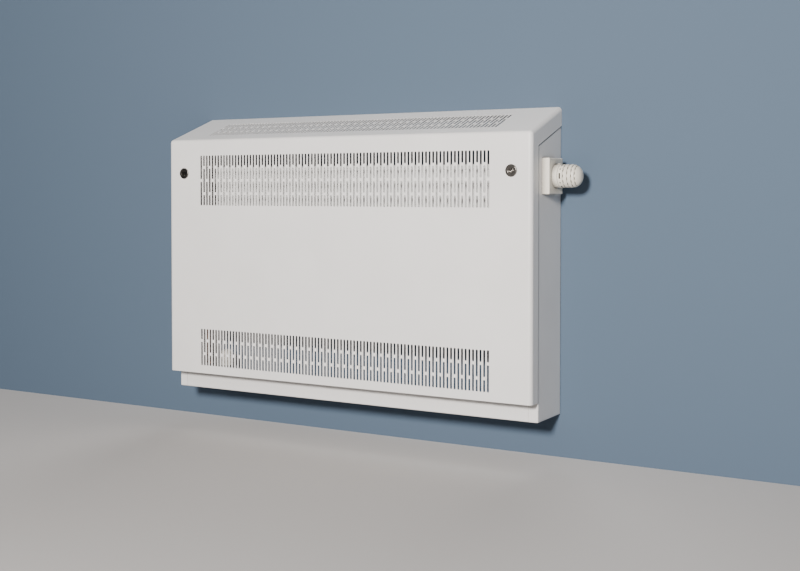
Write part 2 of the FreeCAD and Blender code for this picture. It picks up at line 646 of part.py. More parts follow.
def convector_fins():
    """Folded fin sheet welded to the back of the front panel."""
    front = RAD_FRONT + PANEL_T
    depth, t, half_land = 42.0, 0.6, 6.0
    upper, lower = [], []
    for x in flute_xs()[1:-1]:
        upper += [(x - half_land - t, front + depth), (x - half_land - t, front + t),
                  (x + half_land + t, front + t), (x + half_land + t, front + depth)]
        lower += [(x - half_land - 2 * t, front + depth - t), (x - half_land - 2 * t, front),
                  (x + half_land + 2 * t, front), (x + half_land + 2 * t, front + depth - t)]
    outline = upper[1:-1] + lower[1:-1][::-1]
    low = RAD_Z - RAD_HEIGHT / 2 + 48
    ring = [Vector(x, y, low) for x, y in outline]
    return Part.Face(Part.makePolygon(ring + ring[:1])).extrude(Vector(0, 0, RAD_HEIGHT - 96))


def radiator_tappings():
    """Four corner pieces: a cross tube between the panels and a threaded socket facing outwards."""
    gap_front, gap_rear = RAD_FRONT + PANEL_T, RAD_REAR - PANEL_T
    pieces = []
    for side in (-1, 1):
        for z in (LOW_TAPPING_Z, TOP_TAPPING_Z):
            centre = Vector(side * TAPPING_X, RAD_Y, z)
            outward = Vector(side, 0, 0)
            cross = rod(Vector(centre.x, gap_front, z), Y_AXIS, 13.0, gap_rear - gap_front)
            socket = rod(centre, outward, SOCKET_R, SOCKET_END - TAPPING_X)
            piece = fuse([cross, socket])
            piece = piece.cut(rod(Vector(centre.x, gap_front, z), Y_AXIS, 9.5, gap_rear - gap_front))
            pieces.append(piece.cut(rod(centre, outward, THREAD_R, 40)))
    return Part.makeCompound(pieces)


def lug_points():
    return [(side * BRACKET_X, RAD_Z + dz) for side in (-1, 1) for dz in (-130.0, 130.0)]


def radiator_lugs():
    """Four welded straps on the rear panel that the wall brackets hook into."""
    lugs = []
    for x, z in lug_points():
        strap = box(x - 24, x + 24, RAD_REAR, RAD_REAR + 8, z - 15, z + 15)
        gap = box(x - 14, x + 14, RAD_REAR - 1, RAD_REAR + 6, z - 16, z + 16)
        over = [box(x - 25, x - 16, RAD_REAR + 2, RAD_REAR + 9, z - 16, z + 16),
                box(x + 16, x + 25, RAD_REAR + 2, RAD_REAR + 9, z - 16, z + 16)]
        for tool in [gap] + over:
            strap = strap.cut(tool)
        lugs.append(strap)
    return Part.makeCompound(lugs)


def radiator_bracket():
    """Right-hand wall bracket: a wall plate with two arms whose tongues stand inside the lugs."""
    plate = box(BRACKET_X - 15, BRACKET_X + 15, -2.5, 0, RAD_Z - 165, RAD_Z + 165)
    pieces = [plate]
    for x, z in lug_points()[2:]:
        shelf_z = z - 15
        pieces.append(box(x - 12, x + 12, RAD_REAR + 1.5, -2.5, shelf_z - 2.5, shelf_z))
        pieces.append(box(x - 12, x + 12, RAD_REAR + 1.5, RAD_REAR + 4.5, shelf_z - 2.5, shelf_z + 24))
        gusset = [(-2.5, shelf_z - 2.5), (-2.5, shelf_z - 26), (RAD_REAR + 6, shelf_z - 2.5)]
        pieces.append(prism_x(gusset, x - 1.5, x + 1.5))
    bracket = fuse(pieces)
    for dz in (-BRACKET_HOLES_Z / 2, BRACKET_HOLES_Z / 2):
        bracket = bracket.cut(rod(Vector(BRACKET_X, -5, RAD_Z + dz), Y_AXIS, BRACKET_HOLE_R, 10))
    return bracket


def tapping_plug(side, z, bore):
    """Plug screwed into a tapping: a thread, a hexagon and an optional bore for the bleed screw."""
    out = Vector(side, 0, 0)
    start = Vector(side * (SOCKET_END - 11), RAD_Y, z)
    plug = fuse([rod(start, out, THREAD_R - THREAD_SLACK, 12),
                 hex_bar(Vector(side * SOCKET_END, RAD_Y, z), out, 22.0, 7.0)])
    if bore:
        plug = plug.cut(rod(start, out, bore, 30))
    else:
        plug = plug.cut(rod(start, out, 6.5, 9))
    return plug


def bleed_screw():
    """Air vent screw with a square key end, in the upper left plug."""
    out = Vector(-1, 0, 0)
    start = Vector(-(SOCKET_END - 9), RAD_Y, TOP_TAPPING_Z)
    head_x = -(SOCKET_END + 7)
    stem = rod(start, out, 3.0, 16)
    key = box(head_x - 6, head_x + 1, RAD_Y - 2.5, RAD_Y + 2.5, TOP_TAPPING_Z - 2.5, TOP_TAPPING_Z + 2.5)
    key = key.common(rod(Vector(head_x + 1, RAD_Y, TOP_TAPPING_Z), out, 2.95, 7))
    return fuse([stem, key])


# ---- thermostatic valve -------------------------------------------------------------------
def trv_point(x):
    return Vector(x, RAD_Y, TOP_TAPPING_Z)


def trv_tail():
    """Union tail screwed into the upper right tapping."""
    inner, thread = SOCKET_END - 11, THREAD_R - THREAD_SLACK
    outline = [(inner, 5.5), (inner, thread), (SOCKET_END, thread), (SOCKET_END, 12.0),
               (SOCKET_END + 4, 12.0), (SOCKET_END + 4, 8.0), (UNION_X - 6, 8.0), (UNION_X - 6, 10.5),
               (UNION_X - 2, 10.5), (UNION_X, 8.5), (UNION_X, 5.5)]
    return revolve_x(outline, RAD_Y, TOP_TAPPING_Z)


def trv_union_nut():
    """Hexagon union nut that draws the tail onto the valve body."""
    nut = hex_bar(trv_point(UNION_X - 10), X_AXIS, 28.0, 18.0)
    nut = nut.cut(rod(trv_point(UNION_X - 11), X_AXIS, 8.3, 20))
    return nut.cut(rod(trv_point(UNION_X - 6.1), X_AXIS, 11.55, 20))


def trv_valve_body():
    """Brass body with the radiator and head ports in line and the pipe inlet facing down."""
    down = Vector(0, 0, -1)
    outer = fuse([Part.makeSphere(15.0, trv_point(TRV_X)),
                  rod(trv_point(UNION_X), X_AXIS, 11.5, 20),
                  rod(trv_point(TRV_X), X_AXIS, 13.0, NECK_END - TRV_X),
                  rod(trv_point(TRV_X), down, 12.0, 24),
                  rod(trv_point(TRV_X), down, 10.0, 36)])
    bores = [rod(trv_point(UNION_X - 2), X_AXIS, 7.5, 14),
             rod(trv_point(TRV_X - 13), X_AXIS, 8.5, 60),
             rod(trv_point(TRV_X), down, 6.0, 40),
             rod(trv_point(TRV_X) - Vector(0, 0, 22), down, PIPE_R + SOCKET_FIT, 20)]
    for tool in bores:
        outer = outer.cut(tool)
    return outer


def trv_gland():
    """Hexagon gland that closes the head port round the pin."""
    inner, bore = TRV_X + 8, PIN_R + RUNNING
    outline = [(inner, bore), (inner, 8.45), (NECK_END, 8.45), (NECK_END, 11.0), (NECK_END + 2, 11.0),
               (NECK_END + 2, 6.0), (NECK_END + 7, 6.0), (NECK_END + 7, bore)]
    return revolve_x(outline, RAD_Y, TOP_TAPPING_Z)


def trv_pin():
    """Valve pin with its sealing disc."""
    seat = TRV_X - 10
    outline = [(seat, 0), (seat, 7.0), (seat + 3, 7.0), (seat + 3, 3.0), (seat + 5, 3.0), (seat + 5, PIN_R),
               (HEAD_BASE_X, PIN_R), (HEAD_BASE_X, 0)]
    return revolve_x(outline, RAD_Y, TOP_TAPPING_Z)


def trv_spring():
    """Return spring between the gland and the sealing disc."""
    turns, pitch, radius, wire = 4.0, 3.1, 5.0, 0.5
    helix = Part.makeHelix(pitch, turns * pitch, radius)
    along = Vector(0, 2 * math.pi * radius, pitch)
    profile = Part.Wire(Part.makeCircle(wire, Vector(radius, 0, 0), along))
    spring = Part.Wire(helix).makePipeShell([profile], True, True)
    spring.rotate(Vector(0, 0, 0), Y_AXIS, 90)
    spring.translate(trv_point(TRV_X - 5.8))
    return spring


def trv_collar():
    """Knurled ring nut that clamps the head to the valve body."""
    ring = tube(trv_point(HEAD_BASE_X - 18), X_AXIS, 17.0, 13.05, 18.0)
    for i in range(18):
        a = math.radians(20 * i)
        start = trv_point(HEAD_BASE_X - 16) + Vector(0, 17.6 * math.cos(a), 17.6 * math.sin(a))
        ring = ring.cut(rod(start, X_AXIS, 1.2, 16))
    return ring


def trv_head_base():
    """Fixed base of the head: a flared ring, its index mark, and a spigot that the shell turns on."""
    rim, face = HEAD_BASE_R, HEAD_START - 0.5
    spigot_end, tube_end = face + SPIGOT_LENGTH, face + SPIGOT_LENGTH + 5.5
    outline = [(HEAD_BASE_X, 15.0), (HEAD_BASE_X, 19.0), (HEAD_BASE_X + 7, 19.0), (HEAD_BASE_X + 14, rim),
               (face - 1.2, rim), (face, rim - 1.2), (face, SPIGOT_R), (spigot_end, SPIGOT_R),
               (spigot_end, 17.0), (tube_end, 17.0), (tube_end, 15.0)]
    base = revolve_x(outline, RAD_Y, TOP_TAPPING_Z)
    top = TOP_TAPPING_Z + rim
    mark = box(face - 8, face - 1.5, RAD_Y - 2, RAD_Y + 2, top - 3, top + 2)
    return fuse([base, round_edges(mark, 1.2, X_AXIS, lambda c: near(c.z, top + 2))])


def trv_sensor():
    """Expanding sensor capsule and its stem, which push the pin."""
    x = HEAD_BASE_X
    outline = [(x, 0), (x, 3.0), (x + 6, 3.0), (x + 6, 13.5), (x + 48, 13.5), (x + 52, 10.0), (x + 52, 0)]
    return revolve_x(outline, RAD_Y, TOP_TAPPING_Z)


def dome_solid(radius, start, tip):
    """A round bar about the valve's axis whose end is rounded down to a small flat."""
    def point(x, r):
        return trv_point(x) + Vector(0, 0, r)

    round_r = radius - DOME_FLAT_R
    shoulder, lean = tip - round_r, round_r * math.sqrt(0.5)
    arc = Part.Arc(point(shoulder, radius), point(shoulder + lean, DOME_FLAT_R + lean), point(tip, DOME_FLAT_R))
    edges = [Part.makeLine(point(start, 0), point(start, radius)),
             Part.makeLine(point(start, radius), point(shoulder, radius)), arc.toShape(),
             Part.makeLine(point(tip, DOME_FLAT_R), point(tip, 0)), Part.makeLine(point(tip, 0), point(start, 0))]
    return Part.Face(Part.Wire(edges)).revolve(trv_point(0), X_AXIS, 360)


def head_radius(x):
    """Outer radius of the shell at x."""
    round_r = HEAD_R - DOME_FLAT_R
    beyond = max(0.0, x - (HEAD_TIP - round_r)) / round_r
    return DOME_FLAT_R + round_r * math.sqrt(1 - beyond * beyond)


def sector_cut(x, width, middle, span, depth):
    """A tool for an opening round the head: middle and span in degrees from the top."""
    radius = head_radius(x)
    sector = Part.makeCylinder(radius + 3, width, Vector(0, 0, 0), X_AXIS, span)
    sector = sector.cut(rod(Vector(-1, 0, 0), X_AXIS, radius - depth, width + 2))
    sector.rotate(Vector(0, 0, 0), X_AXIS, middle - span / 2)
    sector.translate(trv_point(x - width / 2))
    return sector


def trv_head_shell():
    """Turning shell of the head: a window row, then grooves between ribs, with vent slots in them."""
    shell = dome_solid(HEAD_R, HEAD_START, HEAD_TIP)
    shell = shell.cut(dome_solid(HEAD_R - HEAD_WALL, HEAD_START + SPIGOT_LENGTH + 1, HEAD_TIP - HEAD_WALL))
    shell = shell.cut(rod(trv_point(HEAD_START - 1), X_AXIS, SPIGOT_R + RUNNING, SPIGOT_LENGTH + 3))
    for x in GROOVES_X:
        shell = shell.cut(tube(trv_point(x - GROOVE_WIDTH / 2), X_AXIS, HEAD_R + 3,
                               head_radius(x) - GROOVE_DEPTH, GROOVE_WIDTH))
    openings = []
    for i in range(5):
        openings.append(sector_cut(WINDOWS_X, WINDOW_WIDTH, 90 + 72 * i, 28.0, 6.0))
        openings.append(sector_cut(WINDOWS_X, WINDOW_WIDTH * 0.7, 126 + 72 * i, 8.0, 6.0))
    pitch = 360.0 / VENTS_PER_GROOVE
    for row, x in enumerate(GROOVES_X):
        for i in range(VENTS_PER_GROOVE):
            openings.append(sector_cut(x, VENT_WIDTH, pitch * (i + 0.5 * (row % 2)), pitch / 2, 7.0))
    for tool in openings:
        shell = shell.cut(tool)
    return shell


# ---- lockshield valve and return pipe -----------------------------------------------------
def lockshield_body():
    """Corner-pattern body: outlet to the left, pipe connection to the wall, spindle upwards."""
    left, back = Vector(-1, 0, 0), Y_AXIS
    outer = fuse([Part.makeSphere(13.5, SHIELD), rod(SHIELD, left, 10.0, 28), rod(SHIELD, back, 10.0, 28),
                  rod(SHIELD, Z_AXIS, 9.0, 20), rod(SHIELD + Vector(0, 0, 13), Z_AXIS, 14.5, 4)])
    bores = [rod(SHIELD, left, 6.0, 40), rod(SHIELD, back, 6.0, 40),
             rod(SHIELD + Vector(-16, 0, 0), left, PIPE_R + SOCKET_FIT, 20),
             rod(SHIELD + Vector(0, 16, 0), back, PIPE_R + SOCKET_FIT, 20),
             rod(SHIELD - Vector(0, 0, 6), Z_AXIS, 6.0, 40)]
    for tool in bores:
        outer = outer.cut(tool)
    return outer


def lockshield_gland():
    """Gland nut screwed into the spindle neck."""
    neck_top = SHIELD.z + 20
    nut = hex_bar(Vector(SHIELD.x, SHIELD.y, neck_top), Z_AXIS, 17.0, 6.0)
    plug = rod(Vector(SHIELD.x, SHIELD.y, neck_top - 9), Z_AXIS, 5.95, 10)
    return fuse([nut, plug]).cut(rod(Vector(SHIELD.x, SHIELD.y, neck_top - 20), Z_AXIS, 3.0 + RUNNING, 40))


def lockshield_spindle():
    """Regulating spindle with a valve disc and a square end under the cap."""
    foot = rod(SHIELD + Vector(0, 0, -4), Z_AXIS, 5.0, 5)
    stem = rod(SHIELD + Vector(0, 0, 0), Z_AXIS, 3.0, 32)
    top = SHIELD.z + 32
    key = box(SHIELD.x - 2, SHIELD.x + 2, SHIELD.y - 2, SHIELD.y + 2, top - 1, top + 7)
    return fuse([foot, stem, key])


def lockshield_cap():
    """White push-on cap with a domed top, hollow over the spindle."""
    base = Vector(SHIELD.x, SHIELD.y, CAP_BOTTOM)
    outer = rod(base, Z_AXIS, CAP_R, CAP_TOP - CAP_BOTTOM)
    outer = outer.makeFillet(9.0, [e for e in outer.Edges if near(e.CenterOfMass.z, CAP_TOP)])
    hollow = rod(base - Vector(0, 0, 1), Z_AXIS, CAP_R - 2.0, CAP_TOP - CAP_BOTTOM - 2)
    hollow = hollow.makeFillet(7.0, [e for e in hollow.Edges if e.CenterOfMass.z > CAP_BOTTOM + 5
                                     and near(e.CenterOfMass.z, CAP_TOP - 3)])
    cap = outer.cut(hollow)
    for i in range(16):
        a = math.radians(22.5 * i)
        at = base + Vector((CAP_R + 0.5) * math.cos(a), (CAP_R + 0.5) * math.sin(a), 3)
        cap = cap.cut(rod(at, Z_AXIS, 1.0, 22))
    return cap


def joint_sites():
    """Mouth and outward direction of each 15 mm compression joint."""
    return [(trv_point(TRV_X) - Vector(0, 0, 36), Vector(0, 0, -1)),
            (SHIELD + Vector(0, 28, 0), Y_AXIS),
            (SHIELD + Vector(-28, 0, 0), Vector(-1, 0, 0)),
            (Vector(-(SOCKET_END + 13), RAD_Y, LOW_TAPPING_Z), Vector(-1, 0, 0))]


def compression_olives():
    """Brass olives, each between a socket's mouth and its nut."""
    olives = []
    for mouth, out in joint_sites():
        ring = tube(mouth, out, 8.9, PIPE_R + SOCKET_FIT, 5.0)
        rims = [e for e in ring.Edges if near(e.BoundBox.DiagonalLength, 2 * 8.9 * math.sqrt(2))]
        olives.append(ring.makeChamfer(1.0, rims) if len(rims) == 2 else ring)
    return Part.makeCompound(olives)


def compression_nuts():
    """Hexagon nuts that close the 15 mm joints over their olives."""
    nuts = []
    for mouth, out in joint_sites():
        start = mouth - out * 8
        nut = hex_bar(start, out, 24.0, 15.0)
        nut = nut.cut(rod(start - out, out, 10.05, 14.2))
        nuts.append(nut.cut(rod(start, out, PIPE_R + SOCKET_FIT, 20)))
    return Part.makeCompound(nuts)


def pipe_adaptor():
    """Adaptor from the lower left tapping to the return pipe."""
    left = Vector(-1, 0, 0)
    start = Vector(-(SOCKET_END - 11), RAD_Y, LOW_TAPPING_Z)
    face = Vector(-SOCKET_END, RAD_Y, LOW_TAPPING_Z)
    outer = fuse([rod(start, left, THREAD_R - THREAD_SLACK, 12), hex_bar(face, left, 25.0, 3.8),
                  rod(face, left, 10.0, 13)])
    outer = outer.cut(rod(start, left, 6.0, 40))
    return outer.cut(rod(face + Vector(-2, 0, 0), left, PIPE_R + SOCKET_FIT, 20))


def return_pipe():
    """Copper pipe from the lower left tapping down to the lockshield valve."""
    r = PIPE_BEND_R
    low, high, leg = SHIELD.z, LOW_TAPPING_Z, RETURN_LEG_X
    diagonal = r * (1 - math.sqrt(0.5))

    def at(x, z):
        return Vector(x, RAD_Y, z)

    path = Part.Wire([
        Part.makeLine(at(SHIELD.x - 17, low), at(leg + r, low)),
        Part.Arc(at(leg + r, low), at(leg + diagonal, low + diagonal), at(leg, low + r)).toShape(),
        Part.makeLine(at(leg, low + r), at(leg, high - r)),
        Part.Arc(at(leg, high - r), at(leg + diagonal, high - diagonal), at(leg + r, high)).toShape(),
        Part.makeLine(at(leg + r, high), at(-(SOCKET_END + 2.5), high))])
    walls = []
    for radius in (PIPE_R, PIPE_R - PIPE_WALL):
        ring = Part.Wire(Part.makeCircle(radius, at(SHIELD.x - 17, low), X_AXIS))
        walls.append(path.makePipeShell([ring], True, True))
    return walls[0].cut(walls[1])


# ---- assembly -----------------------------------------------------------------------------
def both_sides(name, piece):
    """Left and right nodes of a piece that is modelled on the right."""
    return {name + "_right": piece, name + "_left": mirrored(piece)}


def pair(piece):
    """One node that holds a right-hand piece and its left-hand twin."""
    return Part.makeCompound([piece, mirrored(piece)])


def all_parts():
    parts = {
        "front_door": front_door(),
        "door_stiffener": door_stiffener(),
        "side_panel_left": mirrored(side_panel()),
        "side_panel_right": side_panel_right(),
        "bottom_rail": bottom_rail(),
        "top_rail": top_rail(),
        "top_rail_screws": top_rail_screws(),
        "keeper_rivets": keeper_rivets(),
        "door_buffers": door_buffers(),
        "corner_gussets": pair(corner_gusset()),
        "hinge_pins": pair(hinge_pin()),
        "hinge_clips": hinge_clips(),
        "lock_nuts": pair(lock_nut()),
        "valve_guard_box": guard_box(),
        "guard_box_screws": guard_screws(),
        "radiator_front_panel": radiator_panel(RAD_FRONT + PANEL_T / 2, 1),
        "radiator_rear_panel": radiator_panel(RAD_REAR - PANEL_T / 2, -1),
        "convector_fins": convector_fins(),
        "radiator_tappings": radiator_tappings(),
        "radiator_lugs": radiator_lugs(),
        "air_vent_plug": tapping_plug(-1, TOP_TAPPING_Z, 3.0 + RUNNING),
        "bleed_screw": bleed_screw(),
        "blanking_plug": tapping_plug(1, LOW_TAPPING_Z, 0),
        "trv_tail": trv_tail(),
        "trv_union_nut": trv_union_nut(),
        "trv_valve_body": trv_valve_body(),
        "trv_gland": trv_gland(),
        "trv_pin": trv_pin(),
        "trv_return_spring": trv_spring(),
        "trv_collar_nut": trv_collar(),
        "trv_head_base": trv_head_base(),
        "trv_sensor_capsule": trv_sensor(),
        "trv_head_shell": trv_head_shell(),
        "lockshield_body": lockshield_body(),
        "lockshield_gland": lockshield_gland(),
        "lockshield_spindle": lockshield_spindle(),
        "lockshield_cap": lockshield_cap(),
        "compression_olives": compression_olives(),
        "compression_nuts": compression_nuts(),
        "pipe_adaptor": pipe_adaptor(),
        "return_pipe": return_pipe(),
    }
    parts.update(both_sides("door_stay", door_stay()))
    parts.update(both_sides("door_hinge_block", door_hinge_block()))
    parts.update(both_sides("lock_housing", lock_housing()))
    parts.update(both_sides("lock_cylinder", lock_cylinder()))
    parts.update(both_sides("lock_cam", lock_cam()))
    parts.update(both_sides("lock_cam_screw", lock_cam_screw()))
    parts.update(both_sides("lock_keeper", lock_keeper()))
    parts.update(both_sides("hinge_arm", hinge_arm()))
    parts.update(both_sides("radiator_bracket", radiator_bracket()))
    return parts


os.makedirs("parts", exist_ok=True)
for node, shape in all_parts().items():
    print(node, shape.isValid(), len(shape.Solids), round(shape.Volume / 1000, 2))
    shape.exportStep("parts/" + node + ".step")
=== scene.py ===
import json
import math

import bmesh
import bpy
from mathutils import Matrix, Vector


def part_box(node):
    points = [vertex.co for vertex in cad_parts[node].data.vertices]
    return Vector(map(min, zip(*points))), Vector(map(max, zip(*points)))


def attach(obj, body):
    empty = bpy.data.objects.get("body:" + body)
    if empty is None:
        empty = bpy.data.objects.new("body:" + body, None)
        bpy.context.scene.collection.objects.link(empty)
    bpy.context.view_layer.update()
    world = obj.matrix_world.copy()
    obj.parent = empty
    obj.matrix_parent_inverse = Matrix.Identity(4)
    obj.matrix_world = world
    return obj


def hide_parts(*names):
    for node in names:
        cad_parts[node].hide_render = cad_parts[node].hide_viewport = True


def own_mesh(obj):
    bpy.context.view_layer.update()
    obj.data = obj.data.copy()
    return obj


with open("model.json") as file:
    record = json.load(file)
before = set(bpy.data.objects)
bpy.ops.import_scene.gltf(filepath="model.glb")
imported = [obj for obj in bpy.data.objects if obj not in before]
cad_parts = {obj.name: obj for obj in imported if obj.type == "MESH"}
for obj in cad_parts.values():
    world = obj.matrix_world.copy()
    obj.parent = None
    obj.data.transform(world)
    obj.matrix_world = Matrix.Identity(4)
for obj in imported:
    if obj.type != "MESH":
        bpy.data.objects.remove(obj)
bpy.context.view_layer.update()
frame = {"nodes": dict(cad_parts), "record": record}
NODES = frame["nodes"]
RECORD = frame["record"]
BODY_OF = {node: body for body, nodes in RECORD["behaviour"]["bodies"].items() for node in nodes}
SLOT_OF = {part["node"]: part["material_slot"] for part in RECORD["subparts"]}

# Places in metres, in the row's frame: the wall is y = 0 and the front faces -Y.
FLOOR_Z = -0.450
CAMERA_AT = (1.5241, -2.4572, 0.1450)
CAMERA_YAW = math.radians(30.4)
CAMERA_PITCH = math.radians(-1.53)
CAMERA_LENS = 53.49
CAMERA_SHIFT_Y = -0.0791


# ---- materials ----------------------------------------------------------------------------
NOISE_RANGE = (0.3, 0.7)  # nearly all values of a noise texture lie in it
SHELTER_RAYS = 16


class Shader:
    """A Principled material with a few helpers that add texture nodes to it."""

    def __init__(self, name, roughness, metallic=0.0):
        self.material = bpy.data.materials.new(name)
        self.material.use_nodes = True
        self.tree = self.material.node_tree
        self.bsdf = self.tree.nodes["Principled BSDF"]
        self.bsdf.inputs["Roughness"].default_value = roughness
        self.bsdf.inputs["Metallic"].default_value = metallic
        self.object_place = self.add("ShaderNodeTexCoord").outputs["Object"]
        self.bump_normal = None

    def add(self, kind, **properties):
        node = self.tree.nodes.new(kind)
        for key, value in properties.items():
            setattr(node, key, value)
        return node

    def link(self, source, target):
        self.tree.links.new(source, target)

    def stretched(self, scale):
        """Object coordinates scaled by a factor for each axis: under 1 draws the texture out along it."""
        mapping = self.add("ShaderNodeMapping")
        mapping.inputs["Scale"].default_value = scale
        self.link(self.object_place, mapping.inputs["Vector"])
        return mapping.outputs["Vector"]

    def noise(self, scale, detail, vector=None):
        node = self.add("ShaderNodeTexNoise")
        node.inputs["Scale"].default_value = scale
        node.inputs["Detail"].default_value = detail
        self.link(vector or self.object_place, node.inputs["Vector"])
        return node.outputs["Fac"]

    def colour_between(self, value, low, high):
        """Lets a noise value steer the colour from one end to the other."""
        node = self.add("ShaderNodeValToRGB")
        first, last = node.color_ramp.elements
        first.position, last.position = NOISE_RANGE
        first.color, last.color = (*low, 1.0), (*high, 1.0)
        self.link(value, node.inputs["Fac"])
        self.link(node.outputs["Color"], self.bsdf.inputs["Base Color"])

    def painted_shade_in_recesses(self, shade_colour, reach, closed=0.12, open_to_air=0.75):
        """Paints shade into the colour: darkens it towards a shade colour, by ambient occlusion, where a
        place is closed in by surfaces within reach.

        closed and open_to_air are the open shares of its surroundings at which the painted shade is full
        and gone.
        """
        shelter = self.add("ShaderNodeAmbientOcclusion", samples=SHELTER_RAYS)
        shelter.inputs["Distance"].default_value = reach
        share = self.add("ShaderNodeMapRange")
        share.inputs["From Min"].default_value = closed
        share.inputs["From Max"].default_value = open_to_air
        mix = self.add("ShaderNodeMix", data_type="RGBA")
        unshaded_colour = self.bsdf.inputs["Base Color"].links[0].from_socket
        self.link(shelter.outputs["AO"], share.inputs["Value"])
        self.link(share.outputs["Result"], mix.inputs["Factor"])
        mix.inputs["A"].default_value = (*shade_colour, 1.0)
        self.link(unshaded_colour, mix.inputs["B"])
        self.link(mix.outputs["Result"], self.bsdf.inputs["Base Color"])

    def roughness_between(self, value, low, high):
        """Lets a noise value steer the roughness from one end to the other."""
        node = self.add("ShaderNodeMapRange")
        node.inputs["From Min"].default_value, node.inputs["From Max"].default_value = NOISE_RANGE
        node.inputs["To Min"].default_value = low
        node.inputs["To Max"].default_value = high
        self.link(value, node.inputs["Value"])
        self.link(node.outputs["Result"], self.bsdf.inputs["Roughness"])

    def bump(self, height, strength, distance):
        """Bumps on top of any added before."""
        node = self.add("ShaderNodeBump")
        node.inputs["Strength"].default_value = strength
        node.inputs["Distance"].default_value = distance
        self.link(height, node.inputs["Height"])
        if self.bump_normal:
            self.link(self.bump_normal, node.inputs["Normal"])
        self.bump_normal = node.outputs["Normal"]
        self.link(self.bump_normal, self.bsdf.inputs["Normal"])


def powder_coat():
    """Satin polyester powder coat: fine orange peel, faintly uneven tone."""
    s = Shader("powder_coat", roughness=0.42)
    s.colour_between(s.noise(7.0, 3.0), (0.775, 0.758, 0.742), (0.81, 0.795, 0.78))
    # Painted shade: the coat's colour darkens towards near black in slots and inside the casing, where
    # ambient occlusion finds surfaces within 15 cm.
    s.painted_shade_in_recesses((0.055, 0.052, 0.05), reach=0.15)
    s.roughness_between(s.noise(420.0, 3.0), 0.36, 0.50)
    s.bump(s.noise(260.0, 2.0), strength=0.12, distance=0.0004)
    s.bump(s.noise(1400.0, 2.0), strength=0.10, distance=0.0001)
    return s.material


def radiator_enamel():
    """Smooth white stove enamel with a little flow."""
    s = Shader("radiator_enamel", roughness=0.30)
    s.colour_between(s.noise(5.0, 2.0), (0.80, 0.80, 0.78), (0.84, 0.84, 0.825))
    s.roughness_between(s.noise(160.0, 2.0), 0.25, 0.36)
    s.bump(s.noise(120.0, 2.0), strength=0.10, distance=0.0005)
    return s.material


def zinc_steel():
    """Bright zinc plating with a faint cloudy passivation and rolling lines."""
    s = Shader("zinc_steel", roughness=0.34, metallic=0.7)
    s.colour_between(s.noise(60.0, 4.0), (0.55, 0.57, 0.60), (0.68, 0.67, 0.63))
    s.roughness_between(s.noise(300.0, 4.0, vector=s.stretched((1.0, 6.0, 0.15))), 0.26, 0.44)
    s.bump(s.noise(900.0, 2.0, vector=s.stretched((1.0, 4.0, 0.1))), strength=0.08, distance=0.0001)
    return s.material


def dark_nickel():
    """Dark satin nickel of the lock heads, with fine turning marks."""
    s = Shader("dark_nickel", roughness=0.28, metallic=1.0)
    s.colour_between(s.noise(240.0, 3.0), (0.17, 0.16, 0.15), (0.27, 0.25, 0.23))
    s.roughness_between(s.noise(1500.0, 3.0), 0.20, 0.38)
    s.bump(s.noise(2600.0, 2.0), strength=0.12, distance=0.00005)
    return s.material


def nickel_plated_brass():
    """Satin nickel plate over cast and machined brass."""
    s = Shader("nickel_plated_brass", roughness=0.30, metallic=1.0)
    s.colour_between(s.noise(150.0, 3.0), (0.58, 0.56, 0.52), (0.72, 0.70, 0.66))
    s.roughness_between(s.noise(900.0, 3.0), 0.22, 0.40)
    s.bump(s.noise(1100.0, 3.0), strength=0.15, distance=0.0001)
    return s.material


def brass():
    """Bare machined brass."""
    s = Shader("brass", roughness=0.28, metallic=1.0)
    s.colour_between(s.noise(200.0, 3.0), (0.68, 0.50, 0.24), (0.85, 0.67, 0.36))
    s.roughness_between(s.noise(1300.0, 3.0), 0.20, 0.38)
    s.bump(s.noise(2400.0, 2.0), strength=0.10, distance=0.00005)
    return s.material


def spring_steel():
    """Drawn spring wire, bright."""
    s = Shader("spring_steel", roughness=0.25, metallic=1.0)
    s.colour_between(s.noise(900.0, 2.0), (0.38, 0.38, 0.40), (0.52, 0.52, 0.54))
    s.bump(s.noise(2600.0, 2.0), strength=0.08, distance=0.00005)
    return s.material


def white_plastic():
    """Cream-white moulded plastic with a fine spark-eroded grain."""
    s = Shader("white_plastic", roughness=0.42)
    s.colour_between(s.noise(30.0, 2.0), (0.785, 0.735, 0.635), (0.82, 0.775, 0.68))
    # Painted shade: the plastic's colour darkens towards dark brown in the head's narrow windows and
    # grooves, where ambient occlusion finds surfaces within 2 cm.
    s.painted_shade_in_recesses((0.07, 0.06, 0.045), reach=0.02, closed=0.30, open_to_air=0.85)
    s.roughness_between(s.noise(900.0, 3.0), 0.36, 0.50)
    s.bump(s.noise(2200.0, 3.0), strength=0.18, distance=0.00008)
    return s.material


def buffer_rubber():
    """Black moulded rubber."""
    s = Shader("buffer_rubber", roughness=0.75)
    s.colour_between(s.noise(300.0, 3.0), (0.022, 0.022, 0.022), (0.05, 0.05, 0.048))
    s.bump(s.noise(1200.0, 3.0), strength=0.25, distance=0.0001)
    return s.material


def copper():
    """Drawn copper tube, slightly tarnished."""
    s = Shader("copper", roughness=0.30, metallic=1.0)
    s.colour_between(s.noise(45.0, 4.0), (0.52, 0.26, 0.17), (0.80, 0.46, 0.32))
    s.roughness_between(s.noise(200.0, 4.0, vector=s.stretched((1.0, 1.0, 0.2))), 0.22, 0.46)
    s.bump(s.noise(800.0, 2.0, vector=s.stretched((1.0, 1.0, 0.1))), strength=0.08, distance=0.0001)
    return s.material


MAKERS = (powder_coat, radiator_enamel, zinc_steel, dark_nickel, nickel_plated_brass, brass, spring_steel,
          white_plastic, buffer_rubber, copper)
MATERIALS = {make.__name__: make() for make in MAKERS}


def dress(obj, slot):
    """Gives an object the material of one of the record's slots."""
    obj.data.materials.clear()
    obj.data.materials.append(MATERIALS[slot])


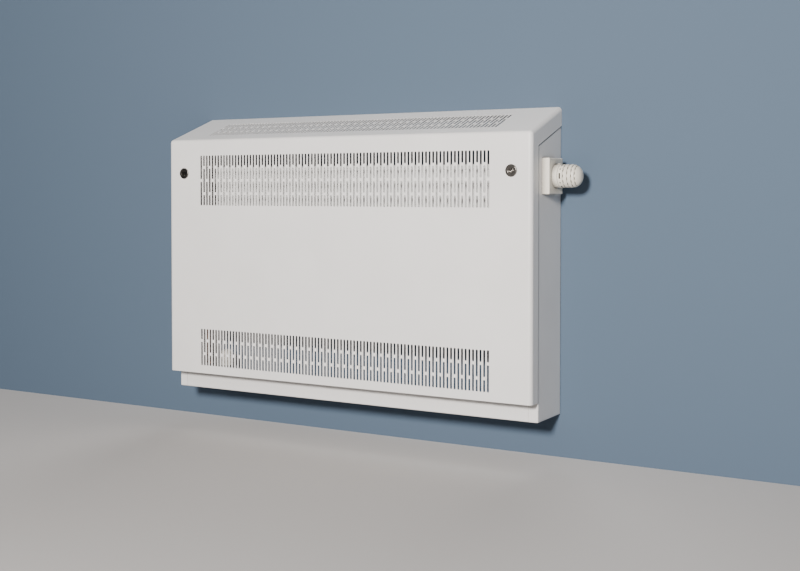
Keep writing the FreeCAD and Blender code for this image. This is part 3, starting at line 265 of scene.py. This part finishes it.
def add_object(name, data):
    """A new object in the scene, of a mesh, curve, camera or light."""
    obj = bpy.data.objects.new(name, data)
    bpy.context.scene.collection.objects.link(obj)
    return obj


def stand_in(name, mesh, node):
    """Shows a mesh in place of a CAD node, on the node's body and in its material."""
    piece = add_object(name, mesh)
    dress(piece, SLOT_OF[node])
    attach(piece, BODY_OF[node])
    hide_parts(node)
    return piece


for node, slot in SLOT_OF.items():
    dress(NODES[node], slot)


# ---- edges rounded as plating, paint and moulding leave them -------------------------------
EDGE_WIDTHS = (0.0004, 0.00025, 0.00015)  # tried in this order
SHARP = math.radians(32)  # edges that turn by more are rounded
FOLDED_OVER = math.radians(120)  # no edge turns by more unless a rounding has run into another
FLAT = math.radians(0.5)  # faces that turn by less are joined first
WELD = 1e-6


def rounded_mesh(source, width):
    """A copy of a CAD mesh with its sharp edges rounded, or None if they lie too close for it."""
    shape = bmesh.new()
    shape.from_mesh(source)
    bmesh.ops.remove_doubles(shape, verts=shape.verts, dist=WELD)
    bmesh.ops.dissolve_limit(shape, angle_limit=FLAT, verts=shape.verts, edges=shape.edges,
                             use_dissolve_boundaries=False)
    sharp = [edge for edge in shape.edges if edge.calc_face_angle(0) > SHARP]
    bmesh.ops.bevel(shape, geom=sharp, offset=width, offset_type="OFFSET", segments=2, profile=0.5,
                    affect="EDGES", clamp_overlap=False, loop_slide=True)
    unshaded_colour = all(len(edge.link_faces) == 2 and edge.calc_face_angle(0) < FOLDED_OVER for edge in shape.edges)
    mesh = None
    if unshaded_colour:
        mesh = bpy.data.meshes.new(source.name + "_finished")
        shape.to_mesh(mesh)
    shape.free()
    return mesh


def finish_edges(node):
    """Rounds a node's edges by the widest rounding that fits it. A node that none fits stays as it is."""
    tries = (rounded_mesh(NODES[node].data, width) for width in EDGE_WIDTHS)
    mesh = next(filter(None, tries), None)
    if mesh is None:
        return
    mesh.shade_smooth()
    mesh.set_sharp_from_angle(angle=SHARP)
    piece = stand_in(node + "_finished", mesh, node)
    even = piece.modifiers.new("even_normals", "WEIGHTED_NORMAL")
    even.keep_sharp = True


# The door's thousands of slot edges stay as the CAD made them, and the spring is wound anew below.
for node in sorted(set(NODES) - {"front_door", "trv_return_spring"}):
    finish_edges(node)


# ---- return spring of the thermostatic valve ----------------------------------------------
SPRING_WIRE_R = 0.0005
SPRING_TURNS = 6.0
CLOSED_TURNS = 0.9
POINTS_PER_TURN = 24


def spring_x(turn, first_x, last_x):
    """Where along X the wire is at a turn. The end turns lie against each other, the others are open."""
    closed_turns = min(turn, CLOSED_TURNS) + max(0.0, turn - (SPRING_TURNS - CLOSED_TURNS))
    open_turns = turn - closed_turns
    closed_pitch = 2 * SPRING_WIRE_R
    open_length = last_x - first_x - 2 * CLOSED_TURNS * closed_pitch
    open_pitch = open_length / (SPRING_TURNS - 2 * CLOSED_TURNS)
    return first_x + closed_turns * closed_pitch + open_turns * open_pitch


def spring_mesh(points):
    """Round wire along a line of points."""
    curve = bpy.data.curves.new("return_spring_path", "CURVE")
    curve.dimensions = "3D"
    curve.bevel_depth = SPRING_WIRE_R
    curve.bevel_resolution = 4
    curve.use_fill_caps = True
    spline = curve.splines.new("POLY")
    spline.points.add(len(points) - 1)
    for spline_point, point in zip(spline.points, points):
        spline_point.co = (*point, 1.0)
    path = add_object("return_spring_path", curve)
    bpy.context.view_layer.update()
    mesh = bpy.data.meshes.new_from_object(path.evaluated_get(bpy.context.evaluated_depsgraph_get()))
    bpy.data.objects.remove(path)
    mesh.shade_smooth()
    return mesh


def return_spring():
    """A wound wire with closed ends, along X, that shortens as the pin pushes its free end.

    It shortens at the pin's other limit too, where the real spring opens, but there it is out of sight.
    """
    low_corner, high_corner = (Vector(corner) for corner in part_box("trv_return_spring"))
    middle = (low_corner + high_corner) / 2
    coil_r = (high_corner.z - low_corner.z) / 2 - SPRING_WIRE_R
    first_x, last_x = low_corner.x + SPRING_WIRE_R, high_corner.x - SPRING_WIRE_R
    points = []
    for i in range(int(SPRING_TURNS * POINTS_PER_TURN) + 1):
        turn = i / POINTS_PER_TURN
        angle = 2 * math.pi * turn
        points.append((spring_x(turn, first_x, last_x),
                       middle.y + coil_r * math.cos(angle), middle.z + coil_r * math.sin(angle)))
    piece = stand_in("return_spring_wire", spring_mesh(points), "trv_return_spring")
    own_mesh(piece)


return_spring()


# ---- stage --------------------------------------------------------------------------------
STAGE_REACH = 8.0
WALL_Y = 0.0005
WALL_TOP = 5.0
FLOOR_COLOUR = (0.42, 0.40, 0.385)
WALL_COLOUR = (0.085, 0.125, 0.18)
MATT_ROUGHNESS = 0.85


def stage_material(name, colour, one_sided):
    """Plain matt backdrop. A one-sided sheet shows only where its front is seen."""
    material = bpy.data.materials.new(name)
    material.use_nodes = True
    tree = material.node_tree
    bsdf = tree.nodes["Principled BSDF"]
    bsdf.inputs["Base Color"].default_value = (*colour, 1.0)
    bsdf.inputs["Roughness"].default_value = MATT_ROUGHNESS
    if one_sided:
        clear = tree.nodes.new("ShaderNodeBsdfTransparent")
        mix = tree.nodes.new("ShaderNodeMixShader")
        geometry = tree.nodes.new("ShaderNodeNewGeometry")
        tree.links.new(geometry.outputs["Backfacing"], mix.inputs["Fac"])
        tree.links.new(bsdf.outputs["BSDF"], mix.inputs[1])
        tree.links.new(clear.outputs["BSDF"], mix.inputs[2])
        tree.links.new(mix.outputs["Shader"], tree.nodes["Material Output"].inputs["Surface"])
    return material


def stage_sheet(name, near, far, colour, one_sided):
    """A level or upright rectangle of the backdrop, between two corners that are given as (y, z)."""
    (near_y, near_z), (far_y, far_z) = near, far
    corners = [(-STAGE_REACH, near_y, near_z), (STAGE_REACH, near_y, near_z),
               (STAGE_REACH, far_y, far_z), (-STAGE_REACH, far_y, far_z)]
    mesh = bpy.data.meshes.new(name)
    mesh.from_pydata(corners, [], [(0, 1, 2, 3)])
    mesh.materials.append(stage_material(name, colour, one_sided))
    sheet = add_object(name, mesh)
    return sheet


stage_sheet("stage_floor", (-STAGE_REACH, FLOOR_Z), (STAGE_REACH, FLOOR_Z), FLOOR_COLOUR, one_sided=False)

# The wall is clear from behind and casts no shadow, so that the back of the object can be seen and lit.
wall = stage_sheet("stage_wall", (WALL_Y, FLOOR_Z), (WALL_Y, WALL_TOP), WALL_COLOUR, one_sided=True)
wall.visible_shadow = False


# ---- camera and lights --------------------------------------------------------------------
SKY_COLOUR = (0.90, 0.94, 1.0)
SKY_STRENGTH = 0.04


def aim(obj, direction):
    """Turns a camera or light to look along a direction, with its top upwards."""
    obj.rotation_mode = "QUATERNION"
    obj.rotation_quaternion = Vector(direction).to_track_quat("-Z", "Y")


camera = add_object("camera", bpy.data.cameras.new("camera"))
camera.location = CAMERA_AT
camera.data.sensor_width = 36.0
camera.data.lens = CAMERA_LENS
camera.data.shift_y = CAMERA_SHIFT_Y
aim(camera, (-math.sin(CAMERA_YAW) * math.cos(CAMERA_PITCH), math.cos(CAMERA_YAW) * math.cos(CAMERA_PITCH),
             math.sin(CAMERA_PITCH)))
bpy.context.scene.camera = camera


def area_light(name, at, target, size, power, colour=(1.0, 1.0, 1.0)):
    """A round soft light of a diameter in metres and a power in watts."""
    light = bpy.data.lights.new(name, "AREA")
    light.shape = "DISK"
    light.size = size
    light.energy = power
    light.color = colour
    obj = add_object(name, light)
    obj.location = at
    aim(obj, Vector(target) - Vector(at))
    return obj


area_light("key_light", at=(1.05, -3.75, 1.05), target=(0.0, -0.1, 0.0), size=0.60, power=285.0,
           colour=(1.0, 0.965, 0.93))
area_light("fill_light", at=(-3.2, -1.2, 1.5), target=(-0.2, 0.0, 0.0), size=1.6, power=12.0,
           colour=(0.93, 0.96, 1.0))
back_light = area_light("back_light", at=(-0.8, 3.0, 1.2), target=(0.0, 0.0, 0.0), size=2.0, power=90.0)

# The back light shows only what it falls on directly, so that it doesn't brighten the inside.
back_light.data.cycles.max_bounces = 0

world = bpy.data.worlds.new("studio")
world.use_nodes = True
world.node_tree.nodes["Background"].inputs["Color"].default_value = (*SKY_COLOUR, 1.0)
world.node_tree.nodes["Background"].inputs["Strength"].default_value = SKY_STRENGTH
bpy.context.scene.world = world
